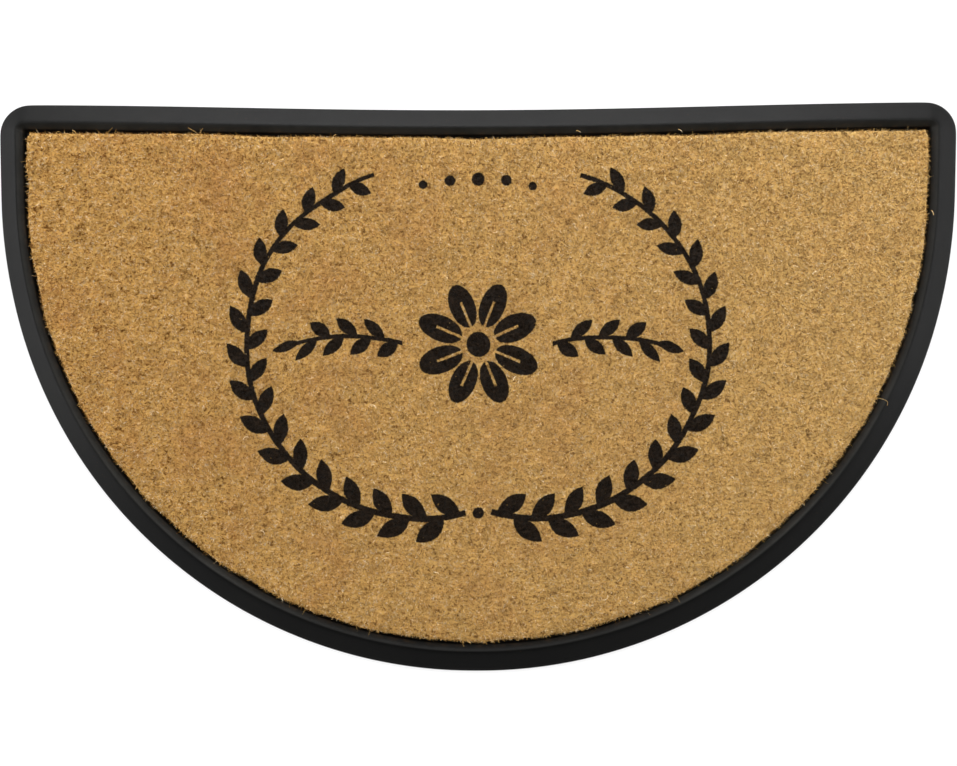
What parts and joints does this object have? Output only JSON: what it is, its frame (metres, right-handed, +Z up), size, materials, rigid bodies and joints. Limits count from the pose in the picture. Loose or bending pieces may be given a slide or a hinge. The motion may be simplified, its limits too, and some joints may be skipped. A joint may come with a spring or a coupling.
{
  "type": "doormat",
  "caption": "Half-moon doormat: a printed coir pile mat lying in a moulded rubber tray with a bevelled rim.",
  "frame": {"origin": "on the floor, at the centre of the mat's box", "axes": "+X along the straight back edge, to the right as seen from the round front; +Y from the round front to the straight back edge; +Z up"},
  "size_m": [0.75, 0.446, 0.0152],
  "materials": {
    "rubber": "satin",
    "coir": "matte"
  },
  "bodies": {
    "root": {"rubber_tray": "rubber", "coir_mat": "coir"}
  },
  "joints": []
}
